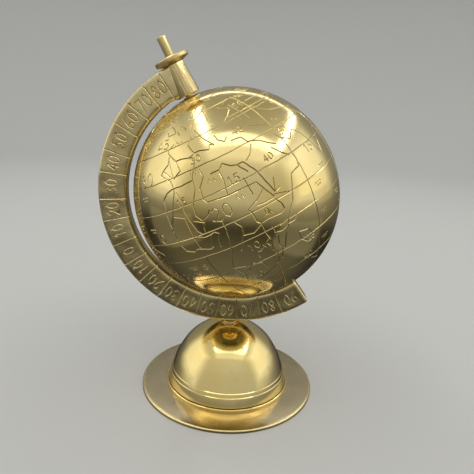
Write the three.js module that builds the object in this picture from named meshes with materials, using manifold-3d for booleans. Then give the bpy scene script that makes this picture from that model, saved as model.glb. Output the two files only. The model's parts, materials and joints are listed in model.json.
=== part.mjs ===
// A table globe: a hollow brass ball that spins on a tilted rod, held by a half-circle
// meridian arc, which swivels on a domed base with a flat round brim.
// Millimetres, +Z up. The origin is the centre of the base plate's underside, and the
// arc lies in the XZ plane, on the -X side of the globe.

import * as THREE from "three";
import { mergeVertices } from "three/addons/utils/BufferGeometryUtils.js";
import Module from "manifold-3d";

// ---------------------------------------------------------------- driving dimensions

const GLOBE_RADIUS = 50;
const POLE_RADIUS = 51.6;
const SHELL_WALL = 1.2;
const CENTRE_HEIGHT = 105.2;
const AXIS_TILT = THREE.MathUtils.degToRad(28.5);
const BUSH_RADIUS = 3;
const BUSH_TOP = 51.8;

const ARC_INNER_RADIUS = 54;
const ARC_OUTER_RADIUS = 67.7;
const ARC_THICKNESS = 8;
const ARC_EDGE_BEVEL = 0.9;
const ARC_END_ANGLE = THREE.MathUtils.degToRad(188);
const ARC_END_CORNER = 1.6;

const ROD_RADIUS = 1.5;
const ROD_BORE_RADIUS = 1.6;
const ROD_SOUTH_END = -59.5;
const ROD_NORTH_END = 74;

const BOSS_FOOT_RADIUS = 5.6;
const BOSS_HEAD_RADIUS = 4.5;
const BOSS_BOTTOM = 52.4;
const BOSS_TOP = 67.3;

const KNOB_RADIUS = 8.2;
const KNOB_BOTTOM = 67.75;
const KNOB_TOP = 71.2;
const HANDLE_RADIUS = 2.1;
const HANDLE_TOP = 80.6;

const PLATE_RADIUS = 46;
const PLATE_THICKNESS = 2;
const FOOT_RADIUS = 33;
const FOOT_LIP = 3.3;
const FOOT_TOP = 6.3;
const DOME_TOP = 36;
const DOME_WALL = 1.2;

const STUD_RADIUS = 2.5;
const STUD_BOTTOM = 25.5;
const STUD_TOP = 45.5;
const COLLAR_RADIUS = 4.2;

const SCREW_COUNT = 3;
const SCREW_CIRCLE = 27.4;
const SCREW_RADIUS = 1;
const SCREW_HEAD_RADIUS = 2.1;
const SCREW_TOP = 3.2;

// Clearance between pieces that touch or nest, and how far a cutting tool overshoots.
const GAP = 0.3;
const OVERSHOOT = 2;

// ---------------------------------------------------------------- materials

const FINISHES = {
  mirrorBrass: { color: 0xe0c474, roughness: 0.12 },
  satinBrass: { color: 0xa89874, roughness: 0.45 },
  archBrass: { color: 0xc2ab68, roughness: 0.28 },
  turnedBrass: { color: 0xd6bd74, roughness: 0.22 },
  steel: { color: 0xb4b4b0, roughness: 0.35 },
};

function finish(name) {
  const { color, roughness } = FINISHES[name];
  return new THREE.MeshStandardMaterial({ color, roughness, metalness: 1 });
}

// ---------------------------------------------------------------- solids

const wasm = await Module();
wasm.setup();

// The closed solid of a geometry whose triangles share their corner points.
function toSolid(geometry) {
  const bare = geometry.clone();
  bare.deleteAttribute("normal");
  bare.deleteAttribute("uv");
  const merged = mergeVertices(bare, 1e-4);
  return new wasm.Manifold(
    new wasm.Mesh({
      numProp: 3,
      vertProperties: new Float32Array(merged.attributes.position.array),
      triVerts: new Uint32Array(merged.index.array),
    }),
  );
}

function toGeometry(solid) {
  const { vertProperties, triVerts } = solid.getMesh();
  const geometry = new THREE.BufferGeometry();
  geometry.setAttribute("position", new THREE.BufferAttribute(vertProperties, 3));
  geometry.setIndex(new THREE.BufferAttribute(triVerts, 1));
  geometry.computeVertexNormals();
  return geometry;
}

function cut(geometry, tools) {
  const solid = tools.reduce((rest, tool) => rest.subtract(toSolid(tool)), toSolid(geometry));
  return toGeometry(solid);
}

// A solid of revolution about Z. The profile is a list of [radius, height] points that
// starts and ends on the axis, or closes on itself, with its inside on the left.
function turned(profile, segments) {
  const points = profile.map(([radius, height]) => new THREE.Vector2(radius, height));
  return new THREE.LatheGeometry(points, segments).rotateX(Math.PI / 2);
}

function closed(profile) {
  return [...profile, profile[0]];
}

function rod(radius, bottom, top, segments) {
  return turned([[0, bottom], [radius, bottom], [radius, top], [0, top]], segments);
}

function tube(innerRadius, outerRadius, bottom, top, segments) {
  const outline = [
    [innerRadius, bottom],
    [outerRadius, bottom],
    [outerRadius, top],
    [innerRadius, top],
  ];
  return turned(closed(outline), segments);
}

// Points on an ellipse about a point of the axis, by angle up from the horizontal.
function ellipsePoints(radius, height, centre, fromAngle, toAngle, steps) {
  return Array.from({ length: steps + 1 }, (_, i) => {
    const angle = THREE.MathUtils.lerp(fromAngle, toAngle, i / steps);
    return [radius * Math.cos(angle), centre + height * Math.sin(angle)];
  });
}

function addPart(group, name, geometry, finishName) {
  const mesh = new THREE.Mesh(geometry, finish(finishName));
  mesh.name = name;
  group.add(mesh);
  return mesh;
}

// ---------------------------------------------------------------- base

const PLATE_SEGMENTS = 60;
const DOME_SEGMENTS = 40;
const SMALL_SEGMENTS = 24;
const SCREW_SEGMENTS = 12;

function screwPlace(index) {
  const angle = (index * 2 * Math.PI) / SCREW_COUNT + Math.PI / 2;
  return [SCREW_CIRCLE * Math.cos(angle), SCREW_CIRCLE * Math.sin(angle)];
}

// A countersunk screw with its head down, and the same shape grown for its hole.
function screwShape(headBottom, grow, top) {
  const profile = [
    [0, headBottom],
    [SCREW_HEAD_RADIUS + grow, headBottom],
    [SCREW_RADIUS + grow, headBottom + SCREW_HEAD_RADIUS - SCREW_RADIUS],
    [SCREW_RADIUS + grow, top],
    [0, top],
  ];
  return turned(profile, SCREW_SEGMENTS);
}

function screwHoles() {
  const headBottom = -0.05;
  return Array.from({ length: SCREW_COUNT }, (_, i) => {
    const [x, y] = screwPlace(i);
    return screwShape(headBottom, GAP, SCREW_TOP + GAP).translate(x, y, 0);
  });
}

function basePlate() {
  const round = 0.5;
  const profile = [
    [0, 0],
    [PLATE_RADIUS - round, 0],
    [PLATE_RADIUS, round],
    [PLATE_RADIUS, PLATE_THICKNESS - round],
    [PLATE_RADIUS - round, PLATE_THICKNESS],
    [0, PLATE_THICKNESS],
  ];
  return cut(turned(profile, PLATE_SEGMENTS), screwHoles());
}

// The bell's outside from its lower edge to near its crown, by radius and height. Its
// skirt widens all the way down, and its crown is almost a ball.
const BELL = [
  [31.9, 3.6],
  [31.4, 5.8],
  [30.6, 8.7],
  [29.3, 12.3],
  [27.5, 16.6],
  [25.2, 20.9],
  [21.8, 25.9],
  [17.2, 30.2],
  [12.2, 33.3],
  [7.2, 35.3],
  [STUD_RADIUS + GAP, DOME_TOP],
];

// A ring that stands out a little all round the bell, with a raised part inside it.
function footRing() {
  const inner = 24.5;
  const raised = 29.6;
  const profile = [
    [inner, PLATE_THICKNESS],
    [FOOT_RADIUS, PLATE_THICKNESS],
    [FOOT_RADIUS, FOOT_LIP - 0.4],
    [FOOT_RADIUS - 0.4, FOOT_LIP],
    [raised, FOOT_LIP],
    [raised, FOOT_TOP],
    [inner, FOOT_TOP],
  ];
  return cut(turned(closed(profile), DOME_SEGMENTS), screwHoles());
}

// The same outline moved in by the wall's thickness, square to the surface.
function bellInside() {
  return BELL.map(([radius, height], i) => {
    const [r0, z0] = BELL[Math.max(i - 1, 0)];
    const [r1, z1] = BELL[Math.min(i + 1, BELL.length - 1)];
    const length = Math.hypot(r1 - r0, z1 - z0);
    const inward = (DOME_WALL * (z1 - z0)) / length;
    const downward = (DOME_WALL * (r0 - r1)) / length;
    return [Math.max(radius - inward, STUD_RADIUS + GAP), height - downward];
  });
}

// The dome is a thin spun bell with a hole on top.
function baseDome() {
  const inside = bellInside();
  inside[0][1] = BELL[0][1];
  inside[BELL.length - 1][0] = STUD_RADIUS + GAP;
  return turned(closed([...BELL, ...inside.reverse()]), DOME_SEGMENTS);
}

function neckCollar() {
  const bottom = DOME_TOP;
  const top = CENTRE_HEIGHT - ARC_OUTER_RADIUS - 0.15;
  const waist = COLLAR_RADIUS - 0.5;
  const profile = [
    [STUD_RADIUS + GAP, bottom],
    [COLLAR_RADIUS + 0.6, bottom],
    [waist, bottom + 0.45],
    [waist, top - 0.3],
    [COLLAR_RADIUS, top],
    [STUD_RADIUS + GAP, top],
  ];
  return turned(closed(profile), SMALL_SEGMENTS);
}

// ---------------------------------------------------------------- swivel fastening

const WASHER_RADIUS = 6;
const WASHER_TOP = 33.6;
const WASHER_BOTTOM = 32.6;
const LOCK_TOP = 32.4;
const LOCK_BOTTOM = 31.2;
const NUT_TOP = 31;
const NUT_HEIGHT = 4;
const NUT_ACROSS_FLATS = 8;

// A split ring, open at one place.
function lockWasher() {
  const outer = 4.6;
  const inner = STUD_RADIUS + GAP;
  const split = THREE.MathUtils.degToRad(12);
  const shape = new THREE.Shape();
  shape.absarc(0, 0, outer, split, 2 * Math.PI, false);
  shape.absarc(0, 0, inner, 2 * Math.PI, split, true);
  const options = { depth: LOCK_TOP - LOCK_BOTTOM, bevelEnabled: false, curveSegments: SMALL_SEGMENTS };
  return new THREE.ExtrudeGeometry(shape, options).translate(0, 0, LOCK_BOTTOM);
}

function hexNut() {
  const cornerRadius = NUT_ACROSS_FLATS / Math.sqrt(3);
  const corners = Array.from({ length: 6 }, (_, i) => {
    const angle = (i * Math.PI) / 3;
    return new THREE.Vector2(cornerRadius * Math.cos(angle), cornerRadius * Math.sin(angle));
  });
  const shape = new THREE.Shape(corners);
  const hole = new THREE.Path();
  hole.absarc(0, 0, STUD_RADIUS + GAP, 0, 2 * Math.PI, true);
  shape.holes.push(hole);
  const options = { depth: NUT_HEIGHT, bevelEnabled: false, curveSegments: 12 };
  return new THREE.ExtrudeGeometry(shape, options).translate(0, 0, NUT_TOP - NUT_HEIGHT);
}

// ---------------------------------------------------------------- meridian, about the axis

const ARC_SEGMENTS = 36;

// A point in the arc's plane, by radius and by angle from the north axis round the -X side.
function arcPoint(radius, angle) {
  return [-radius * Math.sin(angle), radius * Math.cos(angle)];
}

// The arc's outline runs down its outer edge, round the south end's corners and back up
// the inner edge, where a small fillet swells towards the boss.
function arcOutline() {
  const start = THREE.MathUtils.degToRad(2);
  const filletStart = THREE.MathUtils.degToRad(8.5);
  const filletEnd = THREE.MathUtils.degToRad(5);
  const filletRadius = ARC_INNER_RADIUS - 1.1;
  const outerCorner = ARC_END_CORNER / ARC_OUTER_RADIUS;
  const innerCorner = ARC_END_CORNER / ARC_INNER_RADIUS;
  const points = [];
  for (let i = 0; i <= ARC_SEGMENTS; i += 1) {
    const angle = THREE.MathUtils.lerp(start, ARC_END_ANGLE - outerCorner, i / ARC_SEGMENTS);
    points.push(arcPoint(ARC_OUTER_RADIUS, angle));
  }
  points.push(arcPoint(ARC_OUTER_RADIUS - ARC_END_CORNER, ARC_END_ANGLE));
  points.push(arcPoint(ARC_INNER_RADIUS + ARC_END_CORNER, ARC_END_ANGLE));
  for (let i = 0; i <= ARC_SEGMENTS; i += 1) {
    const angle = THREE.MathUtils.lerp(ARC_END_ANGLE - innerCorner, filletStart, i / ARC_SEGMENTS);
    points.push(arcPoint(ARC_INNER_RADIUS, angle));
  }
  points.push(arcPoint(filletRadius, filletEnd));
  points.push(arcPoint(filletRadius, start));
  return points.map(([x, z]) => new THREE.Vector2(x, z));
}

// The arc is cut for the boss, the rod's blind hole and the stud's hole, and it is
// faced flat where the collar meets it.
function meridianArc() {
  const options = {
    depth: ARC_THICKNESS - 2 * ARC_EDGE_BEVEL,
    bevelThickness: ARC_EDGE_BEVEL,
    bevelSize: ARC_EDGE_BEVEL,
    bevelOffset: -ARC_EDGE_BEVEL,
    bevelSegments: 2,
  };
  const bar = new THREE.ExtrudeGeometry(new THREE.Shape(arcOutline()), options);
  bar.translate(0, 0, ARC_EDGE_BEVEL - ARC_THICKNESS / 2);
  bar.rotateX(Math.PI / 2);

  const bossSeat = turned(
    [
      [0, BOSS_BOTTOM - OVERSHOOT],
      [BOSS_FOOT_RADIUS + GAP, BOSS_BOTTOM - OVERSHOOT],
      [BOSS_FOOT_RADIUS + GAP, BOSS_BOTTOM],
      [BOSS_HEAD_RADIUS + GAP, BOSS_TOP],
      [BOSS_HEAD_RADIUS + GAP, BOSS_TOP + OVERSHOOT],
      [0, BOSS_TOP + OVERSHOOT],
    ],
    SMALL_SEGMENTS
  );
  const rodHole = rod(ROD_BORE_RADIUS, ROD_SOUTH_END - GAP, 1 - ARC_INNER_RADIUS, SMALL_SEGMENTS);

  const studLength = STUD_TOP + GAP - STUD_BOTTOM;
  const studHole = rod(STUD_RADIUS + GAP, 0, studLength, SMALL_SEGMENTS);
  studHole.translate(0, 0, STUD_BOTTOM - CENTRE_HEIGHT);
  studHole.rotateY(AXIS_TILT);
  const facing = rod(COLLAR_RADIUS + 1.5, -OVERSHOOT, 0.15, SMALL_SEGMENTS);
  facing.translate(0, 0, -ARC_OUTER_RADIUS);
  facing.rotateY(AXIS_TILT);
  return cut(bar, [bossSeat, rodHole, studHole, facing]);
}

// The boss is wider towards the globe.
function northBoss() {
  const chamfer = 0.5;
  const profile = [
    [ROD_BORE_RADIUS, BOSS_BOTTOM],
    [BOSS_FOOT_RADIUS - chamfer, BOSS_BOTTOM],
    [BOSS_FOOT_RADIUS, BOSS_BOTTOM + chamfer],
    [BOSS_HEAD_RADIUS, BOSS_TOP - chamfer / 2],
    [BOSS_HEAD_RADIUS - chamfer / 2, BOSS_TOP],
    [ROD_BORE_RADIUS, BOSS_TOP],
  ];
  return turned(closed(profile), SMALL_SEGMENTS);
}

// The washer fills the space between the arc's inner edge and the globe's south bush.
function thrustWasher() {
  const radius = 3.2;
  const bottom = 0.4 - ARC_INNER_RADIUS;
  const top = -BUSH_TOP - GAP;
  return tube(ROD_BORE_RADIUS, radius, bottom, top, SMALL_SEGMENTS);
}

// ---------------------------------------------------------------- axle, about the axis

const NECK_RADIUS = 4.2;

// A lens-shaped disc: a cone below, a rounded rim and a low dome above.
function axleKnob() {
  const bore = ROD_RADIUS + GAP;
  const profile = [
    [bore, KNOB_BOTTOM],
    [NECK_RADIUS, KNOB_BOTTOM],
    [KNOB_RADIUS - 0.6, KNOB_BOTTOM + 0.7],
    [KNOB_RADIUS, KNOB_BOTTOM + 1.3],
    [KNOB_RADIUS, KNOB_BOTTOM + 2.1],
    [KNOB_RADIUS - 0.6, KNOB_BOTTOM + 2.6],
    [HANDLE_RADIUS + 1, KNOB_TOP],
    [bore, KNOB_TOP],
  ];
  return turned(closed(profile), SMALL_SEGMENTS);
}

function axleHandle() {
  const bottom = KNOB_TOP + GAP;
  const socket = ROD_RADIUS + GAP;
  const chamfer = 0.35;
  const profile = [
    [0, ROD_NORTH_END + GAP],
    [socket, ROD_NORTH_END + GAP],
    [socket, bottom],
    [HANDLE_RADIUS, bottom],
    [HANDLE_RADIUS, HANDLE_TOP - chamfer],
    [HANDLE_RADIUS - chamfer, HANDLE_TOP],
    [0, HANDLE_TOP],
  ];
  return turned(profile, SMALL_SEGMENTS);
}

// ---------------------------------------------------------------- globe, about the axis

const GLOBE_SEGMENTS = 44;
const GLOBE_RINGS = 9;

// The northern half of the ball. It is open at the equator and has a hole at the pole.
function hemisphere() {
  const joint = GAP / 2;
  const holeRadius = BUSH_RADIUS + GAP;
  const innerRadius = GLOBE_RADIUS - SHELL_WALL;
  const innerPole = POLE_RADIUS - SHELL_WALL;
  const outerStart = Math.asin(joint / POLE_RADIUS);
  const innerStart = Math.asin(joint / innerPole);
  const outerEnd = Math.acos(holeRadius / GLOBE_RADIUS);
  const innerEnd = Math.acos(holeRadius / innerRadius);
  const profile = [
    ...ellipsePoints(GLOBE_RADIUS, POLE_RADIUS, 0, outerStart, outerEnd, GLOBE_RINGS),
    ...ellipsePoints(innerRadius, innerPole, 0, innerEnd, innerStart, GLOBE_RINGS),
  ];
  return turned(closed(profile), GLOBE_SEGMENTS);
}

function equatorBand() {
  const outer = GLOBE_RADIUS - SHELL_WALL - GAP - 0.3;
  return tube(outer - 1, outer, -3, 3, GLOBE_SEGMENTS);
}

// A flanged bearing: its flange lies inside the shell and its nose fills the pole's hole.
function poleBush() {
  const flangeRadius = 5.5;
  const profile = [
    [ROD_BORE_RADIUS, BUSH_TOP - 7],
    [BUSH_RADIUS, BUSH_TOP - 7],
    [BUSH_RADIUS, BUSH_TOP - 4],
    [flangeRadius, BUSH_TOP - 4],
    [flangeRadius, BUSH_TOP - 2.2],
    [BUSH_RADIUS, BUSH_TOP - 2.2],
    [BUSH_RADIUS, BUSH_TOP],
    [ROD_BORE_RADIUS, BUSH_TOP],
  ];
  return turned(closed(profile), SMALL_SEGMENTS);
}

// ---------------------------------------------------------------- assembly

function baseGroup() {
  const group = new THREE.Group();
  addPart(group, "base_plate", basePlate(), "satinBrass");
  addPart(group, "foot_ring", footRing(), "mirrorBrass");
  addPart(group, "base_dome", baseDome(), "mirrorBrass");
  addPart(group, "neck_collar", neckCollar(), "turnedBrass");
  for (let i = 0; i < SCREW_COUNT; i += 1) {
    const [x, y] = screwPlace(i);
    const screw = addPart(group, `plate_screw_${i + 1}`, screwShape(0.2, 0, SCREW_TOP), "steel");
    screw.position.set(x, y, 0);
  }
  return group;
}

function fasteningGroup() {
  const group = new THREE.Group();
  const washerHole = STUD_RADIUS + GAP;
  addPart(group, "swivel_stud", rod(STUD_RADIUS, STUD_BOTTOM, STUD_TOP, SMALL_SEGMENTS), "steel");
  const washer = tube(washerHole, WASHER_RADIUS, WASHER_BOTTOM, WASHER_TOP, SMALL_SEGMENTS);
  addPart(group, "stud_washer", washer, "steel");
  addPart(group, "stud_lock_washer", lockWasher(), "steel");
  addPart(group, "stud_nut", hexNut(), "turnedBrass");
  return group;
}

function meridianGroup() {
  const group = new THREE.Group();
  addPart(group, "meridian_arc", meridianArc(), "archBrass");
  addPart(group, "north_boss", northBoss(), "turnedBrass");
  addPart(group, "south_thrust_washer", thrustWasher(), "steel");
  return group;
}

function axleGroup() {
  const group = new THREE.Group();
  addPart(group, "axle_rod", rod(ROD_RADIUS, ROD_SOUTH_END, ROD_NORTH_END, SMALL_SEGMENTS), "turnedBrass");
  addPart(group, "axle_knob", axleKnob(), "turnedBrass");
  addPart(group, "axle_handle", axleHandle(), "turnedBrass");
  return group;
}

function globeGroup() {
  const group = new THREE.Group();
  addPart(group, "globe_north_shell", hemisphere(), "mirrorBrass");
  const south = addPart(group, "globe_south_shell", hemisphere(), "mirrorBrass");
  south.rotation.x = Math.PI;
  addPart(group, "equator_band", equatorBand(), "turnedBrass");
  addPart(group, "north_pole_bush", poleBush(), "turnedBrass");
  const southBush = addPart(group, "south_pole_bush", poleBush(), "turnedBrass");
  southBush.rotation.x = Math.PI;
  return group;
}

// Everything that is centred on the globe leans with its axis.
const tilted = new THREE.Group();
tilted.position.z = CENTRE_HEIGHT;
tilted.rotation.y = -AXIS_TILT;
tilted.add(meridianGroup(), axleGroup(), globeGroup());

const tableGlobe = new THREE.Group();
tableGlobe.add(baseGroup(), fasteningGroup(), tilted);

export default tableGlobe;
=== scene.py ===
"""A polished brass table globe: an engraved ball on a tilted rod, a half-circle meridian arc
with engraved numerals, and a domed base with a flat round brim. Lengths of pieces are in
millimetres, and become metres where a mesh is made. Lights and camera are in metres."""

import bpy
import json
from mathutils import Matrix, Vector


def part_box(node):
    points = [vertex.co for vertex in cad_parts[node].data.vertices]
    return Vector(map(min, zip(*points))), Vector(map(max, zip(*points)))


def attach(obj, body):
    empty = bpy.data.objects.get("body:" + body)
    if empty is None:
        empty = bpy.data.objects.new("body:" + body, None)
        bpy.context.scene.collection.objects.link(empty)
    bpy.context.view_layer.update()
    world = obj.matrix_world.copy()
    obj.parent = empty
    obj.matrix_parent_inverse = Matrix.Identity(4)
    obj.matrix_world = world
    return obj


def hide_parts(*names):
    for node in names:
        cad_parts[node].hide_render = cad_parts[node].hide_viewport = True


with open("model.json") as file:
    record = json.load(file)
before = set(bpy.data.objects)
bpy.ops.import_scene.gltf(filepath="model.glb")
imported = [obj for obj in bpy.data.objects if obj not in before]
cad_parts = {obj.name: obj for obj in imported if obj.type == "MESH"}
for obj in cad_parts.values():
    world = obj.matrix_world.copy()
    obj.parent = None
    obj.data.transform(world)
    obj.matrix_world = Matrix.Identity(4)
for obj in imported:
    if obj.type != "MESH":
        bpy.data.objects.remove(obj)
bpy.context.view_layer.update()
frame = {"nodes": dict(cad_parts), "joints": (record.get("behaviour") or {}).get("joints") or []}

import copy
import itertools
import json
import math

import bpy
import numpy as np
from mathutils import Matrix, Vector, kdtree, noise
from mathutils.geometry import delaunay_2d_cdt

MM = 0.001

# The wander of hand-cut lines comes from this seed, so that each run cuts the same ones.
noise.seed_set(1)

# ------------------------------------------------------------------ places, from the frame

JOINTS = {joint["name"]: joint for joint in frame["joints"]}
CENTRE = Vector(JOINTS["globe_spin"]["pos_m"])
NORTH = Vector(JOINTS["globe_spin"]["axis"]).normalized()
ACROSS = Vector((0, 1, 0))
UPRIGHT = Matrix.Identity(4)


def tilted_place():
    """The frame of everything that leans: Z along the globe's axis, the arc on the -X side."""
    axes = Matrix((ACROSS.cross(NORTH), ACROSS, NORTH)).transposed().to_4x4()
    return Matrix.Translation(CENTRE) @ axes


TILTED = tilted_place()
FLIPPED = TILTED @ Matrix.Rotation(math.pi, 4, "X")


def local_points(node, place):
    """A CAD node's vertices in a place's frame, in millimetres."""
    inverse = place.inverted()
    return np.array([inverse @ vertex.co for vertex in frame["nodes"][node].data.vertices]) / MM


def span(node, place=TILTED):
    """(lowest, highest, smallest radius, largest radius) of a node about a place's Z axis."""
    points = local_points(node, place)
    radii = np.hypot(points[:, 0], points[:, 1])
    return points[:, 2].min(), points[:, 2].max(), radii.min(), radii.max()


# ------------------------------------------------------------------ materials

# Colours are linear, and end with an alpha of 1.
BRASS = (0.86, 0.67, 0.26, 1)
PALE_BRASS = (0.88, 0.73, 0.36, 1)
TURNED_BRASS = (0.80, 0.62, 0.29, 1)
BRIGHT_EDGE = (0.94, 0.82, 0.52, 1)
ARC_BRASS = (0.76, 0.60, 0.28, 1)
PALE_ARC_BRASS = (0.84, 0.72, 0.38, 1)
DEEP_BRASS = (0.62, 0.42, 0.14, 1)
TAN_BRASS = (0.59, 0.485, 0.30, 1)
DULL_TAN_BRASS = (0.51, 0.425, 0.275, 1)
TARNISH = (0.20, 0.13, 0.05, 1)
STEEL = (0.58, 0.58, 0.57, 1)
STEEL_DARK = (0.34, 0.33, 0.31, 1)
STEEL_BRIGHT = (0.74, 0.74, 0.72, 1)


def feed(tree, socket, value):
    """Joins an output to an input socket, or sets the socket to a plain value."""
    if isinstance(value, bpy.types.NodeSocket):
        tree.links.new(value, socket)
    else:
        socket.default_value = value


def add_node(tree, kind, inputs, **settings):
    node = tree.nodes.new(kind)
    for name, value in settings.items():
        setattr(node, name, value)
    for socket, value in inputs.items():
        feed(tree, node.inputs[socket], value)
    return node


class Nodes:
    """A metal's node tree, and short calls that add nodes to it and give their output."""

    def __init__(self, name, anisotropy=0.0):
        self.material = bpy.data.materials.new(name)
        self.material.use_nodes = True
        self.tree = self.material.node_tree
        self.shader = self.tree.nodes["Principled BSDF"].inputs
        self.shader["Metallic"].default_value = 1.0
        self.shader["Anisotropic"].default_value = anisotropy
        self.place = self.attribute("own_place", "Vector")
        if anisotropy:
            around = self.attribute("around", "Vector")
            turned_with = self.add("ShaderNodeVectorTransform", {0: around},
                                   convert_from="OBJECT", convert_to="WORLD")
            feed(self.tree, self.shader["Tangent"], turned_with.outputs[0])

    def add(self, kind, inputs, **settings):
        return add_node(self.tree, kind, inputs, **settings)

    def attribute(self, name, output):
        return self.add("ShaderNodeAttribute", {}, attribute_name=name).outputs[output]

    def math(self, operation, *values):
        return self.add("ShaderNodeMath", dict(enumerate(values)), operation=operation).outputs[0]

    def scaled(self, value, factor, offset=0.0):
        return self.math("MULTIPLY_ADD", value, factor, offset)

    def stretch(self, scale):
        return self.add("ShaderNodeMapping", {"Vector": self.place, "Scale": scale}).outputs[0]

    def noise(self, scale, detail=3.0, vector=None):
        inputs = {"Vector": vector or self.place, "Scale": scale, "Detail": detail, "Roughness": 0.55}
        return self.add("ShaderNodeTexNoise", inputs).outputs["Fac"]

    def ramp(self, factor, low, high):
        """A factor remapped so that low becomes 0 and high becomes 1."""
        inputs = {"Value": factor, "From Min": low, "From Max": high}
        return self.add("ShaderNodeMapRange", inputs).outputs["Result"]

    def mix(self, factor, first, second):
        inputs = {"Factor": factor, 6: first, 7: second}
        return self.add("ShaderNodeMix", inputs, data_type="RGBA").outputs[2]

    def around_axis(self):
        """(radius, 0, height) about the piece's own axis, as a texture place of its own."""
        parts = self.add("ShaderNodeSeparateXYZ", {0: self.place}).outputs
        squares = [self.math("MULTIPLY", parts[k], parts[k]) for k in (0, 1)]
        radius = self.math("SQRT", self.math("ADD", *squares))
        return self.add("ShaderNodeCombineXYZ", {0: radius, 2: parts[2]}).outputs[0]

    def bump(self, height, distance, strength, after=None):
        inputs = {"Height": height, "Distance": distance, "Strength": strength}
        if after is not None:
            inputs["Normal"] = after
        return self.add("ShaderNodeBump", inputs).outputs[0]

    def stained(self, colour, scale, detail, start, share):
        stain = self.ramp(self.noise(scale, detail), start, start + 0.2)
        return self.mix(self.scaled(stain, share), colour, DEEP_BRASS)

    def dirty(self, colour, rough, darker, rougher):
        """Dirt in the engraved grooves."""
        groove = self.attribute("groove", "Fac")
        colour = self.mix(self.scaled(groove, darker), colour, TARNISH)
        return colour, self.math("ADD", rough, self.scaled(groove, rougher))

    def worn(self, colour, bright):
        """Outer edges that handling has brightened."""
        pointiness = self.add("ShaderNodeNewGeometry", {}).outputs["Pointiness"]
        return self.mix(self.ramp(pointiness, 0.53, 0.60), colour, bright)

    def finish(self, colour, rough, normal):
        for name, value in (("Base Color", colour), ("Roughness", rough), ("Normal", normal)):
            feed(self.tree, self.shader[name], value)
        return self.material


def polished_brass(name, engraved):
    """Mirror polish with fine marks round the axis, faint smears, and dark grooves if engraved."""
    nodes = Nodes(name, anisotropy=0.35)
    cloud = nodes.noise(38.0, 4.0)
    colour = nodes.mix(nodes.ramp(cloud, 0.35, 0.7), BRASS, PALE_BRASS)
    colour = nodes.stained(colour, 85.0, 5.0, 0.60, 0.35)
    smear = nodes.noise(900.0, 3.0, nodes.stretch((1.0, 1.0, 4.0)))
    rough = nodes.math("ADD", nodes.scaled(cloud, 0.10, 0.04), nodes.scaled(smear, 0.10))
    if engraved:
        colour, rough = nodes.dirty(colour, rough, 0.5, 0.25)
    dents = nodes.bump(nodes.noise(70.0, 2.0), 0.00035, 0.35)
    marks = nodes.noise(2600.0, 2.0, nodes.around_axis())
    return nodes.finish(colour, rough, nodes.bump(marks, 0.00001, 0.35, dents))


def satin_brass():
    """Grey-tan brim: fine circular turning marks, handling marks, and a pale band at the rim that is a
    painted highlight as well as edge wear.
    """
    nodes = Nodes("satin_brass", anisotropy=0.5)
    rings = nodes.around_axis()
    colour = nodes.mix(nodes.ramp(nodes.noise(55.0, 5.0), 0.35, 0.72), TAN_BRASS, DULL_TAN_BRASS)
    rim = span("base_plate", UPRIGHT)[3]
    radius = nodes.add("ShaderNodeSeparateXYZ", {0: rings}).outputs[0]
    # A pale band painted round the rim by radius: a painted highlight of the rounded rim, partly also its
    # wear.
    colour = nodes.mix(nodes.ramp(radius, (rim - 1.4) * MM, (rim - 0.2) * MM), colour, PALE_BRASS)
    rough = nodes.scaled(nodes.noise(130.0, 2.0), 0.14, 0.17)
    return nodes.finish(colour, rough, nodes.bump(nodes.noise(1400.0, 2.0, rings), 0.00001, 0.5))


def arc_brass():
    """A semi-polished casting: wavy, brushed along, blotched, with dirt in its cut numerals."""
    nodes = Nodes("arc_brass")
    colour = nodes.mix(nodes.ramp(nodes.noise(90.0, 5.0), 0.32, 0.72), ARC_BRASS, PALE_ARC_BRASS)
    colour = nodes.stained(colour, 160.0, 6.0, 0.58, 0.5)
    rough = nodes.scaled(nodes.noise(300.0, 4.0), 0.25, 0.12)
    colour, rough = nodes.dirty(colour, rough, 0.45, 0.2)
    waves = nodes.bump(nodes.noise(62.0, 1.0), 0.0022, 0.5)
    lumps = nodes.bump(nodes.noise(180.0, 3.0), 0.0004, 0.35, waves)
    brushed = nodes.noise(1500.0, 3.0, nodes.stretch((1.0, 1.0, 0.12)))
    return nodes.finish(nodes.worn(colour, PALE_BRASS), rough, nodes.bump(brushed, 0.00003, 0.5, lumps))


def turned_brass(name, dull=0.10):
    """Bright lathe-turned brass, with marks that run round the axis."""
    nodes = Nodes(name)
    marks = nodes.noise(4200.0, 3.0, nodes.around_axis())
    rough = nodes.scaled(marks, 0.16, dull)
    return nodes.finish(turned_colour(nodes), rough, nodes.bump(marks, 0.00003, 0.6))


def filed_brass():
    """The boss's brass, with dark file marks that run along it."""
    nodes = Nodes("filed_brass")
    marks = nodes.noise(950.0, 3.0, nodes.stretch((1.0, 1.0, 0.03)))
    streaks = nodes.scaled(nodes.ramp(marks, 0.5, 0.68), 0.6)
    colour = nodes.mix(streaks, turned_colour(nodes), DEEP_BRASS)
    return nodes.finish(colour, nodes.scaled(marks, 0.16, 0.10), nodes.bump(marks, 0.0008, 0.6))


def turned_colour(nodes):
    colour = nodes.mix(nodes.ramp(nodes.noise(220.0, 4.0), 0.3, 0.75), TURNED_BRASS, PALE_BRASS)
    return nodes.worn(nodes.stained(colour, 420.0, 5.0, 0.60, 0.4), BRIGHT_EDGE)


def plated_steel():
    """Zinc-plated fastener steel, mottled grey with dull stains."""
    nodes = Nodes("plated_steel")
    cloud = nodes.ramp(nodes.noise(600.0, 5.0), 0.3, 0.75)
    colour = nodes.worn(nodes.mix(cloud, STEEL, STEEL_DARK), STEEL_BRIGHT)
    marks = nodes.noise(3800.0, 2.0, nodes.around_axis())
    return nodes.finish(colour, nodes.scaled(cloud, 0.2, 0.24), nodes.bump(marks, 0.00003, 0.5))


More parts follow.
